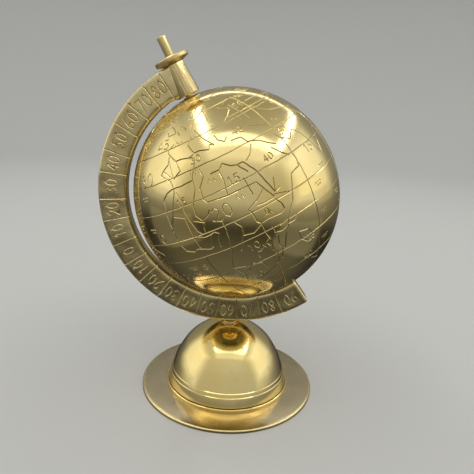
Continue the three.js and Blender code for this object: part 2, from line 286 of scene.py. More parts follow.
def studio_grey(name, value):
    material = bpy.data.materials.new(name)
    material.use_nodes = True
    inputs = material.node_tree.nodes["Principled BSDF"].inputs
    inputs["Base Color"].default_value = (value, value, value * 0.99, 1)
    inputs["Roughness"].default_value = 0.75
    return material


# ------------------------------------------------------------------ meshes

SHARP_ANGLE = math.radians(28)
LATHE_SEGMENTS = 144
SMALL_SEGMENTS = 72
FILLET_STEPS = 5
ON_AXIS = 1e-6


def make_object(name, points, faces, place, material, sharp=SHARP_ANGLE):
    """A mesh object from points in millimetres, smooth but for its sharp edges."""
    mesh = bpy.data.meshes.new(name)
    mesh.from_pydata([Vector(point) * MM for point in points], [], faces)
    mesh.polygons.foreach_set("use_smooth", [True] * len(mesh.polygons))
    if sharp is not None:
        mesh.set_sharp_from_angle(angle=sharp)
    mesh.materials.append(material)
    item = bpy.data.objects.new(name, mesh)
    bpy.context.scene.collection.objects.link(item)
    item.matrix_world = place
    return item


def settle(item):
    """Moves a mesh out of its own frame, and keeps each vertex's place there, and the way
    round its own axis, for the materials."""
    place, mesh = item.matrix_world.copy(), item.data
    own = np.empty(3 * len(mesh.vertices))
    mesh.vertices.foreach_get("co", own)
    own = own.reshape(-1, 3)
    around = np.stack([-own[:, 1], own[:, 0], 0 * own[:, 0]], axis=1) @ np.array(place.to_3x3()).T
    length = np.linalg.norm(around, axis=1, keepdims=True)
    for name, values in (("own_place", own), ("around", around / np.maximum(length, 1e-9))):
        attribute = mesh.attributes.new(name, "FLOAT_VECTOR", "POINT")
        attribute.data.foreach_set("vector", values.ravel())
    mesh.transform(place)
    mesh.update()
    item.matrix_world = Matrix.Identity(4)


def stands_for(item, body, slot, *nodes):
    settle(item)
    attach(item, body)
    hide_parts(*nodes)


def fillet(before, corner, after, radius):
    """Points of an arc that rounds a corner of a flat outline."""
    here = Vector(corner[:2])
    back, ahead = Vector(before[:2]) - here, Vector(after[:2]) - here
    half = back.angle(ahead) / 2
    reach = min(radius / math.tan(half), back.length * 0.49, ahead.length * 0.49)
    start, end = here + back.normalized() * reach, here + ahead.normalized() * reach
    steps = [i / FILLET_STEPS for i in range(FILLET_STEPS + 1)]
    return [start * (1 - t) ** 2 + here * 2 * t * (1 - t) + end * t ** 2 for t in steps]


def rounded(corners):
    """A lathe profile from (radius, height) or (radius, height, fillet) corners. It runs up
    its outside. It closes on itself unless it starts on the axis."""
    count = len(corners)
    profile = []
    for index, corner in enumerate(corners):
        if len(corner) == 3:
            before, after = corners[index - 1], corners[(index + 1) % count]
            profile.extend(fillet(before, corner, after, corner[2]))
        else:
            profile.append(Vector(corner))
    return profile


def ring_faces(first, second, count):
    """Quads between two rings, or triangles where one of them is a single point."""
    faces = []
    for i in range(count):
        corners = ((first, i), (first, i + 1), (second, i + 1), (second, i))
        faces.append(tuple(dict.fromkeys(ring[k % len(ring)] for ring, k in corners)))
    return faces


def turned(name, corners, place, material, segments=SMALL_SEGMENTS):
    """A solid of revolution about the place's Z axis."""
    profile = rounded(corners)
    points, rings = [], []
    for radius, height in profile:
        turns = [2 * math.pi * i / segments for i in range(segments if radius > ON_AXIS else 1)]
        rings.append(range(len(points), len(points) + len(turns)))
        points.extend((radius * math.cos(a), radius * math.sin(a), height) for a in turns)
    pairs = list(zip(rings, rings[1:]))
    if profile[0][0] > ON_AXIS:
        pairs.append((rings[-1], rings[0]))
    faces = [face for first, second in pairs for face in ring_faces(first, second, segments)]
    return make_object(name, points, [f for f in faces if len(f) > 2], place, material)


def cut(item, *tools, operation="DIFFERENCE"):
    """Cuts other objects out of an item, or keeps what they share, and removes them."""
    for tool in tools:
        modifier = item.modifiers.new("cut", "BOOLEAN")
        modifier.operation = operation
        modifier.solver = "EXACT"
        modifier.object = tool
        with bpy.context.temp_override(object=item, active_object=item, selected_objects=[item]):
            bpy.ops.object.modifier_apply(modifier=modifier.name)
        bpy.data.objects.remove(tool)
    item.data.polygons.foreach_set("use_smooth", [True] * len(item.data.polygons))
    item.data.set_sharp_from_angle(angle=SHARP_ANGLE)


# ------------------------------------------------------------------ engraving

# Strokes of the numerals, in a cell 0.6 wide and 1 high, as a hand graver cuts them.
DIGITS = {
    "0": [(0.3, 1), (0.06, 0.8), (0, 0.5), (0.06, 0.2), (0.3, 0), (0.54, 0.2), (0.6, 0.5),
          (0.54, 0.8), (0.3, 1)],
    "1": [(0.1, 0.78), (0.35, 1), (0.35, 0)],
    "2": [(0.03, 0.8), (0.3, 1), (0.57, 0.78), (0.48, 0.5), (0, 0), (0.6, 0)],
    "3": [(0.03, 0.88), (0.3, 1), (0.56, 0.78), (0.26, 0.56), (0.6, 0.28), (0.3, 0), (0, 0.14)],
    "4": [(0.45, 0), (0.45, 1), (0, 0.32), (0.6, 0.32)],
    "5": [(0.56, 1), (0.1, 1), (0.05, 0.58), (0.4, 0.62), (0.6, 0.32), (0.36, 0), (0, 0.12)],
    "6": [(0.5, 0.98), (0.18, 0.8), (0, 0.36), (0.14, 0.04), (0.44, 0), (0.6, 0.26),
          (0.44, 0.5), (0.08, 0.42)],
    "7": [(0, 1), (0.6, 1), (0.2, 0)],
    "8": [(0.3, 0.55), (0.06, 0.78), (0.3, 1), (0.54, 0.78), (0.3, 0.55), (0, 0.26), (0.3, 0),
          (0.6, 0.26), (0.3, 0.55)],
    "9": [(0.1, 0.02), (0.42, 0.2), (0.6, 0.64), (0.46, 0.96), (0.16, 1), (0, 0.74),
          (0.16, 0.5), (0.52, 0.58)],
}
DIGIT_PITCH = 0.86


def number_strokes(text, height, narrow=1.0):
    """The strokes of a number, centred on the origin, with its height along +Y."""
    wide = height * narrow
    width = (DIGIT_PITCH * (len(text) - 1) + 0.6) * wide
    strokes = []
    for place, digit in enumerate(text):
        left = place * DIGIT_PITCH * wide - width / 2
        strokes.append([(left + x * wide, (y - 0.5) * height) for x, y in DIGITS[digit]])
    return strokes


class Groove:
    """A V groove along a line of points on a surface, with the surface's normal at each."""

    def __init__(self, points, normals, width, depth):
        self.half = width / 2
        self.depth = depth
        self.centre = [Vector(point) for point in points]
        self.left, self.right = [], []
        last = len(points) - 1
        for i, (point, normal) in enumerate(zip(self.centre, normals)):
            ahead = self.centre[min(i + 1, last)] - self.centre[max(i - 1, 0)]
            side = Vector(normal).cross(ahead).normalized() * self.half
            self.left.append(point + side)
            self.right.append(point - side)
        ends = (self.centre[:2], self.centre[:-3:-1])
        self.tips = [tip + (tip - inner).normalized() * self.half for tip, inner in ends]

    def outlines(self):
        return [[self.tips[0], *line, self.tips[1]] for line in (self.left, self.centre, self.right)]

    def turned_over(self):
        """The same groove in the frame of the half of the globe that is turned over."""
        other = copy.copy(self)
        for name in ("centre", "left", "right", "tips"):
            setattr(other, name, [Vector((p.x, -p.y, -p.z)) for p in getattr(self, name)])
        return other


class GrooveDepths:
    """Looks up how deep the nearest groove is at a point."""

    NEIGHBOURS = 8
    FLAT_SHARE = 0.8

    def __init__(self, grooves):
        self.samples = [(groove, i) for groove in grooves for i in range(len(groove.centre))]
        self.tree = kdtree.KDTree(len(self.samples))
        for index, (groove, i) in enumerate(self.samples):
            self.tree.insert(groove.centre[i], index)
        self.tree.balance()

    def nearest(self, point):
        """The smallest share of a groove's half width that a point is from its centre line,
        with that groove's depth."""
        best = (math.inf, 0.0)
        for _, index, _ in self.tree.find_n(point, self.NEIGHBOURS):
            groove, i = self.samples[index]
            for j in (i - 1, i):
                if j < 0 or j + 1 >= len(groove.centre):
                    continue
                start, along = groove.centre[j], groove.centre[j + 1] - groove.centre[j]
                t = max(0.0, min(1.0, (point - start).dot(along) / along.length_squared))
                share = (point - start - along * t).length / groove.half
                if share < best[0]:
                    best = (share, groove.depth)
        return best

    def depth(self, point):
        share, depth = self.nearest(point)
        return depth * max(0.0, 1.0 - share / self.FLAT_SHARE)


class Patch:
    """A flat drawing of points and lines that becomes one sheet of triangles."""

    def __init__(self):
        self.points, self.edges = [], []

    def line(self, points, closed=False):
        start = len(self.points)
        self.points.extend(Vector(point) for point in points)
        self.edges.extend((start + i, start + i + 1) for i in range(len(points) - 1))
        if closed:
            self.edges.append((start + len(points) - 1, start))

    def sheet(self, keep):
        """(points, triangles) with each triangle whose middle passes the keep test."""
        points, _, faces, *_ = delaunay_2d_cdt(self.points, self.edges, [], 0, 1e-5, False)
        middles = (sum((points[i] for i in face), Vector((0, 0))) / 3 for face in faces)
        kept = [face for face, middle in zip(faces, middles) if keep(middle)]
        used = sorted({i for face in kept for i in face})
        renumber = {old: new for new, old in enumerate(used)}
        return [points[i] for i in used], [[renumber[i] for i in face] for face in kept]


def border_loops(faces):
    """The loops of edges that only one face has, each in the order its faces run."""
    edges = {(face[i], face[(i + 1) % len(face)]) for face in faces for i in range(len(face))}
    following = {a: b for a, b in edges if (b, a) not in edges}
    loops = []
    while following:
        start, here = following.popitem()
        loop = [start]
        while here != start:
            loop.append(here)
            here = following.pop(here)
        loops.append(loop)
    return loops


def store_grooves(item, shares):
    """Keeps how deep each vertex is cut, from 0 to 1, for the material's dirt."""
    attribute = item.data.attributes.new("groove", "FLOAT", "POINT")
    attribute.data.foreach_set("value", shares)


# ------------------------------------------------------------------ the map

# Engraved lines as (latitude, longitude) in degrees. The hand-cut map sits a little south
# of the true one, and its coasts are made of short straight cuts.
COAST_LINES = [
    # western Europe and the Mediterranean
    [(49, 1), (52, 0), (54, 3), (53, 6), (50, 7)],
    [(45, -4), (43, -9), (41, -8.5), (39, -6.5), (36, -4), (36, -0.5), (35, 4.5), (35.5, 7.5)],
    [(45, 9), (41.5, 6), (38, 7.5), (36, 8.5), (36, 12), (34.5, 17), (36.5, 18.5), (36, 21)],
    [(47.5, 13), (44, 15), (41, 16.5), (38, 19), (35.5, 21)],
    [(40, 23.5), (37, 24), (34.5, 27), (36, 29)],
    [(51, -9), (54, -10), (57, -6), (54, -3), (51, -2), (51, -9)],
    [(62, 5), (66, 12), (70, 24), (69, 38), (64, 40), (66, 33)],
    [(56, 11), (60, 18), (64, 24), (60, 29), (56, 21), (54, 14)],
    # north-west Africa and its islands
    [(39.5, -8.5), (36, -10), (33.5, -14.5), (32, -16), (28, -10.5), (27.5, -9.5)],
    [(28.3, -7.5), (31, -2.5), (33.5, -3.5), (35.8, -4)],
    [(37.5, -8.8), (33, -8.5), (28.3, -7.5)],
    [(33.5, -14), (28.7, -8)],
    [(34, 8), (31, 6.5), (27, 4), (24.2, 3), (24, -4.5), (24, -10.5), (23, -14), (20.5, -17.5),
     (18, -17), (13.5, -18), (9, -18), (4.5, -17.5), (1.5, -18), (-2.5, -17.5), (-5.5, -16),
     (-7, -12), (-6, -9.5), (-8, -3), (-7.5, -1), (-2, 1)],
    [(27.5, -9.5), (24, -9), (22, -9.5), (12.5, -14.5), (5, -18.5)],
    [(22, -8), (17, -6.5), (12.5, -7), (8, -6), (2, -4.5), (0.5, -3)],
    [(12, -14), (9.5, -8), (3.5, -8), (-1, -8), (-6, -7.5)],
    [(7, -4), (4.5, 1), (2.5, -0.5), (0, -1)],
    [(0.5, -7.5), (-1.5, -3), (-1, 3)],
    [(6, 1), (7.5, 4), (9, 5.5)],
    [(24, 3), (20, 2.5), (14, -1), (9, -2), (6, 0)],
    # the Gulf of Guinea and the west coast down to the Cape
    [(-1, 3), (-2.5, 5), (-5, 3.5), (-8.5, 2.5)],
    [(4, 5), (2, 9), (-2, 9), (-7, 8), (-13.5, 6), (-18.5, 3), (-22.5, 1.5), (-29, 5),
     (-34, 4), (-36, 9), (-35, 15), (-33, 20), (-31, 25), (-27, 27), (-23, 26)],
    [(-22.5, 1.5), (-24, 8)],
    [(-28, 8), (-24, 12), (-26, 17), (-30, 18)],
    # borders across the Sahara and the Nile lands
    [(28.5, 8), (24, 9), (19.5, 5), (14.5, 5), (12.5, 6), (11.5, 17), (11.4, 31)],
    [(23.5, 13), (23.5, 17.5), (25.5, 20.5), (23, 23.5), (22, 26.5), (22, 30), (16, 33.5),
     (9, 35.5), (3.5, 37), (4.5, 40.5)],
    [(23.5, 17.5), (18.5, 17.5), (11.5, 16.5)],
    [(22, 26.5), (17, 30)],
    [(15.5, 26.5), (7, 27)],
    [(11.4, 31), (6, 33.5), (1.5, 35.5), (2.5, 36.5), (0.5, 43.5)],
    [(9.5, 39.5), (4, 37.5)],
    # central and eastern Africa
    [(7, 32), (4, 27.5), (2, 22), (-0.5, 23), (-5, 23.5), (-6.5, 25), (-6, 29), (-6.5, 35.5),
     (-5.5, 38), (-2.5, 37.5), (0.5, 36)],
    [(2, 26.5), (1.5, 31), (1.5, 35)],
    [(-7.5, 14.5), (-14.5, 10.5)],
    [(-0.5, 14), (-4, 16), (-8, 15), (-9, 20), (-6.5, 25), (-11.5, 25), (-16, 26), (-22, 25)],
    [(-14, 26), (-19, 19.5), (-19, 17), (-22.5, 17)],
    [(-13.5, 29), (-14.5, 33), (-14, 35), (-13, 37), (-13, 41), (-11, 43)],
    [(-11.5, 33), (-11, 37)],
    [(-10, 29), (-16, 30), (-20, 29), (-24, 30), (-29, 28)],
    [(-20, 41), (-25, 42), (-28.5, 46), (-26, 50), (-21.5, 47.5), (-20, 41)],
    # Arabia, Persia and India
    [(21.5, 47), (17, 50.5), (14.5, 53.5)],
    [(26, 54), (23, 55.5), (20, 56), (14.5, 55.5), (11, 56), (8, 55), (7, 49), (2, 46.5),
     (-4, 43.5), (-8, 40), (-12, 37.5), (-18, 34), (-24, 31)],
    [(27.5, 38.5), (23.5, 35), (22, 32)],
    [(33.5, 30.5), (33, 36), (29.5, 38), (27.5, 43.5), (24.5, 47), (22, 50.5)],
    [(23, 56), (20.5, 60), (24, 66), (20, 70), (10, 74), (6, 77), (12, 80), (19, 86), (16, 93),
     (8, 97), (1, 102), (6, 99), (12, 100), (9, 105), (16, 107), (21, 109), (24, 117),
     (31, 121), (37, 118), (40, 122), (35, 126), (39, 128), (43, 133), (53, 141), (59, 150),
     (52, 157), (60, 163), (66, 178)],
    # northern Asia and its borders
    [(66, 178), (69, 165), (71, 145), (73, 118), (76, 100), (72, 80), (68, 62), (67, 45)],
    [(55, 37), (53, 39), (51.5, 43), (49.5, 43.5), (46.5, 38.5), (44.5, 34)],
    [(55, 43), (57.5, 50), (56, 57), (46, 56.5)],
    [(53, 46), (44.5, 48), (40, 49)],
    [(36.5, 44), (34, 50), (32, 54)],
    [(44.5, 42), (41.5, 44)],
    [(45.5, 41), (44.5, 60)],
    [(50, 60), (48, 85), (50, 97), (49, 115), (48, 132)],
    [(42, 60), (38, 66), (35, 80), (28, 88), (28, 97), (22, 100)],
    [(31, 131), (35, 138), (41, 141), (45, 142), (36, 140), (33, 135), (31, 131)],
    # the East Indies, Australia and New Zealand
    [(1, 109), (7, 116), (4, 118), (-4, 115), (1, 109)],
    [(5, 95), (-5, 104), (-6, 106), (3, 99), (5, 95)],
    [(-1, 131), (-3, 140), (-9, 148), (-8, 140), (-4, 134), (-1, 131)],
    [(-12, 131), (-15, 129), (-20, 119), (-27, 113), (-35, 116), (-32, 128), (-35, 137),
     (-39, 146), (-37, 150), (-28, 153), (-20, 148), (-11, 142), (-17, 140), (-12, 136),
     (-12, 131)],
    [(-15, 129), (-32, 129)],
    [(-17, 138), (-26, 138), (-26, 141), (-38, 141)],
    [(-29, 141), (-28.5, 153)],
    [(-35, 173), (-38, 178), (-41, 175), (-38, 174), (-35, 173)],
    [(-41, 173), (-44, 171), (-46.5, 168), (-44, 168.5), (-41, 173)],
    # the Americas
    [(71, -156), (70, -128), (68, -110), (62, -95), (57, -92), (52, -82), (58, -77),
     (62, -75), (58, -64), (52, -56), (47, -60), (45, -66), (41, -72), (35, -76), (30, -81),
     (25, -80), (29, -84), (30, -92), (26, -97), (19, -96), (18, -91), (21, -88), (16, -88),
     (10, -84), (8, -79), (12, -72), (10, -62), (5, -52), (-2, -44), (-6, -35), (-13, -38),
     (-23, -42), (-29, -49), (-35, -56), (-41, -63), (-48, -66), (-54, -68), (-50, -75),
     (-40, -74), (-30, -71), (-18, -70), (-6, -81), (1, -80), (7, -80), (13, -90), (16, -97),
     (20, -105), (23, -110), (34, -119), (41, -124), (50, -126), (58, -137), (60, -148),
     (59, -160), (65, -167), (71, -156)],
    [(49, -123), (49, -95), (43, -82), (45, -74), (47, -68)],
    [(32, -117), (31, -107), (26, -99)],
    [(69, -141), (60, -141)],
    [(49, -110), (37, -109), (31, -108)],
    [(4, -60), (-2, -69), (-11, -69), (-17, -58), (-24, -55), (-30, -57)],
    [(0, -50), (-3, -60), (-4, -70), (-10, -74)],
    [(-17, -69), (-23, -67), (-34, -70), (-50, -72)],
    [(60, -44), (67, -52), (76, -67), (82, -55), (81, -20), (70, -23), (65, -40), (60, -44)],
    [(22, -84), (20, -75), (18, -70)],
    # southern islands
    [(-43, 50), (-46, 57)],
    [(-50, 68), (-52, 72)],
]
ANTARCTIC = [(-71 + 3 * math.sin(math.radians(3 * lon)) - (lon % 40) / 20, lon)
             for lon in range(-180, 181, 15)]

PARALLELS = [71, 57, 43.5, 29, 15, -11, -25, -40, -54]
DOUBLE_PARALLEL = (45.6, 38, 84)
# The latitudes between which each meridian is cut.
MERIDIANS = {56: [(58, -62)], 25: [(60, 49), (-33, -60)], -8: [(78, 60), (-12, -31), (-36, -62)]}
MERIDIANS.update({longitude: [(78, -62)] for longitude in (-42, 90, 124, 158, -168, -134, -100, -71)})

# (number, latitude, longitude, height): degrees, written beside the lines that they name.
NUMBERS = [
    ("60", 61, -6, 3.4), ("45", 47, -14, 4.4), ("30", 32, -30, 6.0), ("15", 17, -7, 3.0),
    ("20", 6.0, 10.5, 5.6), ("40", 18.5, 42.5, 3.0), ("30", 33, 8, 3.0), ("15", 17, 22, 3.4),
    ("0", -2.5, 29.5, 2.8), ("10", -15, 17, 3.4), ("30", -33, 11, 3.6), ("25", -27, 49, 3.2),
    ("45", 37, 37, 3.4), ("30", 26, 60, 3.2), ("56", 50, 52, 3.0), ("15", 12.5, 68, 4.0),
    ("40", -38, 46, 3.0), ("8", -17, -12, 3.4), ("0", 3, -28, 4.2), ("25", -22, -30, 4.2),
    ("60", 60, 80, 3.6), ("90", 46, 94, 4.2), ("120", 18, 128, 4.6), ("150", 2, 160, 4.6),
    ("180", 32, -170, 5.0), ("120", 40, -117, 4.0), ("90", 40, -92, 4.0), ("60", 52, -40, 4.0),
    ("90", -20, -100, 5.0), ("60", -12, -58, 4.2), ("30", -30, -140, 5.0), ("25", -23, 132, 4.4),
    ("120", -24, 90, 4.6), ("40", 44, 165, 4.4), ("40", -44, -30, 4.0), ("70", 73, -100, 3.0),
]
# Seas are marked with short waves, and highlands with pointed cuts.
WAVES = [
    (24, -34), (8, -34), (-16, -20), (-33, -22), (-4, 62), (-18, 62), (-33, 62), (2, 70),
    (0, -150), (20, -140), (-15, -160), (35, -150), (-40, -110), (-15, 80), (-35, 100),
    (10, 150), (35, 155), (30, -55), (10, -48), (-20, -20), (-45, 20), (-50, 120), (-45, -170),
]
PEAKS = [
    (27, 5), (20, 12), (8, 21), (-4, 30), (-18, 22), (44, 0), (50, 14), (32, 62), (40, 76),
    (34, 84), (55, 62), (60, 100), (46, -112), (38, -106), (30, -104), (-15, -71), (-30, -69),
    (-8, -76), (60, -135), (-30, 150), (-24, 120), (52, 110), (62, 130),
]

# ------------------------------------------------------------------ the engraved globe

# The map's longitude that lies on the local +X side of the globe.
LONGITUDE_AT_X = 106
CUT_STEP = 1.3
CUT_WOBBLE = 0.22
GRID_STEP = 2.1
CLEAR_OF_CUTS = 2.2
RIM_POINTS = 380
SEAM_HALF_WIDTH = 0.3
SEAM_DEPTH = 0.2
SEAM_GAP = 0.01
BORDER_SLACK = 0.003
DIRTY_DEPTH = 0.2


class Ball:
    """The globe's outer and inner ellipsoids, measured from its CAD shells."""

    WALL = 1.2

    def __init__(self):
        _, top, hole, self.radius = span("globe_north_shell")
        self.pole = top / math.sqrt(1 - (hole / self.radius) ** 2)
        self.hole = hole - 0.25

    def point(self, latitude, azimuth, inset=0.0):
        """A surface point by angles in radians."""
        flat, high = self.radius - inset, self.pole - inset
        across = flat * math.cos(latitude)
        return Vector((across * math.cos(azimuth), across * math.sin(azimuth), high * math.sin(latitude)))

    def on_map(self, latitude, longitude):
        return self.point(math.radians(latitude), math.radians(longitude - LONGITUDE_AT_X))

    def normal(self, point):
        return Vector((point.x, point.y, point.z * (self.radius / self.pole) ** 2)).normalized()

    def flatten(self, point):
        """A surface point on a flat drawing that is centred on the north pole."""
        latitude = math.asin(max(-1.0, min(1.0, point.z / self.pole)))
        azimuth = math.atan2(point.y, point.x)
        away = (math.pi / 2 - latitude) * self.radius
        return Vector((away * math.cos(azimuth), away * math.sin(azimuth)))

    def raise_point(self, flat, inset=0.0):
        return self.point(math.pi / 2 - flat.length / self.radius, math.atan2(flat.y, flat.x), inset)

    def snap(self, point):
        """The surface point in the direction of a point near the surface."""
        scaled = Vector((point.x / self.radius, point.y / self.radius, point.z / self.pole)).normalized()
        return Vector((scaled.x * self.radius, scaled.y * self.radius, scaled.z * self.pole))

    def beside(self, latitude, longitude, strokes):
        """Flat strokes laid on the surface, with +X east and +Y north."""
        origin = self.on_map(latitude, longitude)
        normal = self.normal(origin)
        east = Vector((-origin.y, origin.x, 0)).normalized()
        north = normal.cross(east)
        return [[self.snap(origin + east * x + north * y) for x, y in stroke] for stroke in strokes]


BALL = Ball()


def wobble(point):
    """A small sideways wander, the same at the same place."""
    return noise.noise_vector(point * 0.35) * CUT_WOBBLE


def resample(points, step=CUT_STEP):
    dense = [points[0]]
    for start, end in zip(points, points[1:]):
        steps = max(1, math.ceil((end - start).length / step))
        dense.extend(start.lerp(end, i / steps) for i in range(1, steps + 1))
    return dense


def ball_groove(points, width, depth, wander=1.0):
    dense = [BALL.snap(point + wobble(point) * wander) for point in resample(points)]
    return Groove(dense, [BALL.normal(point) for point in dense], width, depth)


def map_line(stops):
    return [BALL.on_map(latitude, longitude) for latitude, longitude in stops]


def parallel(latitude, start, end):
    count = max(8, round((end - start) / 2.5))
    return map_line([(latitude, start + (end - start) * i / count) for i in range(count + 1)])


def meridian(longitude, start, end):
    count = max(3, round(abs(end - start) / 2.5))
    return map_line([(start + (end - start) * i / count, longitude) for i in range(count + 1)])


def globe_grooves():
    """All the engraving, with (width, depth) for each kind of cut."""
    coast, line, number, mark = (0.62, 0.24), (0.5, 0.17), (0.58, 0.22), (0.45, 0.15)
    grooves = [ball_groove(map_line(cut), *coast) for cut in COAST_LINES + [ANTARCTIC]]
    grooves += [ball_groove(parallel(latitude, -180, 180), *line) for latitude in PARALLELS]
    grooves.append(ball_groove(parallel(*DOUBLE_PARALLEL), *line))
    for longitude, runs in MERIDIANS.items():
        grooves += [ball_groove(meridian(longitude, *run), *line) for run in runs]
    ripple = [(-2.4, 0), (-1.6, 0.6), (-0.8, 0), (0, 0.6), (0.8, 0), (1.6, 0.6), (2.4, 0)]
    ripples = [ripple, [(x * 0.6 + 0.5, y - 1.3) for x, y in ripple]]
    peaks = [[(-1.9, 0), (-0.9, 1.7), (0, 0)], [(0.2, -0.6), (1.1, 1.2), (2.0, -0.6)]]
    marks = [(place, number_strokes(text, height), number) for text, *place, height in NUMBERS]
    marks += [(place, ripples, mark) for place in WAVES] + [(place, peaks, mark) for place in PEAKS]
    for place, strokes, size in marks:
        grooves += [ball_groove(stroke, *size, wander=0.5) for stroke in BALL.beside(*place, strokes)]
    return grooves


def ring_points(away, count, phase=0.0):
    turns = [2 * math.pi * (i + phase) / count for i in range(count)]
    return [Vector((away * math.cos(a), away * math.sin(a))) for a in turns]


def filling(rim, hole, step):
    """Rings of points between a half's hole and its rim, about a step apart."""
    rings = int((rim - hole) / step)
    for i in range(1, rings):
        away = hole + (rim - hole) * i / rings
        count = max(12, round(2 * math.pi * BALL.radius * math.sin(away / BALL.radius) / step))
        yield from ring_points(away, count, 0.5 * (i % 2))


def half_patch(grooves, depths, rim, hole):
    """The drawing of one half: its rim, its hole, its cuts and a plain filling of points."""
    patch = Patch()
    patch.line(ring_points(rim, RIM_POINTS), closed=True)
    patch.line(ring_points(rim - SEAM_HALF_WIDTH, RIM_POINTS, 0.5), closed=True)
    patch.line(ring_points(hole, SMALL_SEGMENTS), closed=True)
    beyond = rim + CUT_STEP
    for outline in (outline for groove in grooves for outline in groove.outlines()):
        flats = [BALL.flatten(point) for point in outline]
        for near, run in itertools.groupby(flats, lambda flat: flat.length < beyond):
            run = list(run)
            if near and len(run) > 1:
                patch.line(run)
    for flat in filling(rim, hole, GRID_STEP):
        if depths.nearest(BALL.raise_point(flat))[0] > CLEAR_OF_CUTS:
            patch.points.append(flat)
    return patch


def inner_patch(rim_ring, hole_ring, rim, hole):
    """The half's plain inside, whose borders have the same points as its outside's."""
    patch = Patch()
    patch.line([flat.normalized() * rim for flat in rim_ring], closed=True)
    patch.line([flat.normalized() * hole for flat in hole_ring], closed=True)
    patch.points.extend(filling(rim, hole, 2.4 * GRID_STEP))
    return patch


def sorted_rings(points, faces):
    """The rim's and the hole's points, each in order of angle."""
    def turn(index):
        return math.atan2(points[index].y, points[index].x)
    loops = sorted(border_loops(faces), key=lambda loop: points[loop[0]].length)
    hole_ring, rim_ring = loops[0], loops[-1]
    return sorted(rim_ring, key=turn), sorted(hole_ring, key=turn)


def engraved_half(name, place, grooves, material):
    """One closed half of the globe: engraved outside, plain inside, and open at the pole."""
    depths = GrooveDepths(grooves)
    rim = BALL.radius * math.pi / 2 - SEAM_GAP
    hole = (math.pi / 2 - math.acos(BALL.hole / BALL.radius)) * BALL.radius

    def between(middle):
        return hole < middle.length < rim - BORDER_SLACK

    flats, faces = half_patch(grooves, depths, rim, hole).sheet(between)
    points, cuts = [], []
    for flat in flats:
        point = BALL.raise_point(flat)
        seam = SEAM_DEPTH * (1 - (rim - flat.length) / SEAM_HALF_WIDTH)
        depth = max(depths.depth(point), seam, 0.0)
        cuts.append(depth if depth > 1e-3 else 0.0)
        points.append(point - BALL.normal(point) * cuts[-1])

    outer_faces = len(faces)
    rings = sorted_rings(flats, faces)
    inner = inner_patch(*([flats[i] for i in ring] for ring in rings), rim, hole)
    inner_flats, inner_faces = inner.sheet(between)
    start = len(points)
    points += [BALL.raise_point(flat, BALL.WALL) for flat in inner_flats]
    cuts += [0.0] * len(inner_flats)
    faces += [[start + i for i in reversed(face)] for face in inner_faces]
    (rim_ring, hole_ring), (inner_rim, inner_hole) = rings, sorted_rings(inner_flats, inner_faces)
    for outside, inside in ((rim_ring, inner_rim), (hole_ring[::-1], inner_hole[::-1])):
        pairs = list(zip(outside, inside, strict=True))
        for (a, b), (c, d) in zip(pairs, pairs[1:] + pairs[:1]):
            faces.append([a, start + b, start + d, c])

    half = make_object(name, points, faces, place, material, sharp=None)
    store_grooves(half, [cut_depth / DIRTY_DEPTH for cut_depth in cuts])
    half.data.normals_split_custom_set(shell_normals(half.data, cuts, outer_faces))
    return half


def shell_normals(mesh, cuts, outer_faces):
    """True ball normals on the plain surface, and flat sides in the grooves."""
    normals = []
    for polygon in mesh.polygons:
        cut_face = any(cuts[i] > 0 for i in polygon.vertices)
        for i in polygon.vertices:
            if polygon.index < outer_faces and not cut_face:
                normals.append(BALL.normal(mesh.vertices[i].co / MM))
            else:
                normals.append(polygon.normal.copy())
    return normals


def build_globe(material, turned_material):
    grooves = globe_grooves()
    north = engraved_half("globe_north_engraved", TILTED, grooves, material)
    over = [groove.turned_over() for groove in grooves]
    south = engraved_half("globe_south_engraved", FLIPPED, over, material)
    stands_for(north, "globe", "polished_brass", "globe_north_shell")
    stands_for(south, "globe", "polished_brass", "globe_south_shell")
    for side, place in (("north", TILTED), ("south", FLIPPED)):
        low, high, bore, flange = span(side + "_pole_bush", place)
        nose, step, ledge = BALL.hole - 0.05, high - 4, high - 2.2
        bush = turned(side + "_bush_turned", [
            (bore, low, 0.2), (nose, low, 0.4), (nose, step, 0.1), (flange, step, 0.3),
            (flange, ledge, 0.3), (nose, ledge, 0.1), (nose, high, 0.35), (bore, high, 0.2),
        ], place, turned_material)
        stands_for(bush, "globe", "turned_brass", side + "_pole_bush")
    plain_ring("equator_band", "equator_band_rolled", "globe", "turned_brass", TILTED,
               (0.2, 0.3, 0.3, 0.2), turned_material, LATHE_SEGMENTS)


# ------------------------------------------------------------------ the meridian arc

class Cone:
    """The boss at the arc's north end, which narrows away from the globe."""

    CLEARANCE = 0.05

    def __init__(self):
        self.low, self.high, self.bore, self.foot = span("north_boss")
        points = local_points("north_boss", TILTED)
        near_top = points[points[:, 2] > self.high - 0.4]
        self.head = np.hypot(near_top[:, 0], near_top[:, 1]).max()

    def radius(self, height):
        share = max(0.0, min(1.0, (height - self.low) / (self.high - self.low)))
        return self.foot + (self.head - self.foot) * share + self.CLEARANCE


BOSS_CONE = Cone()


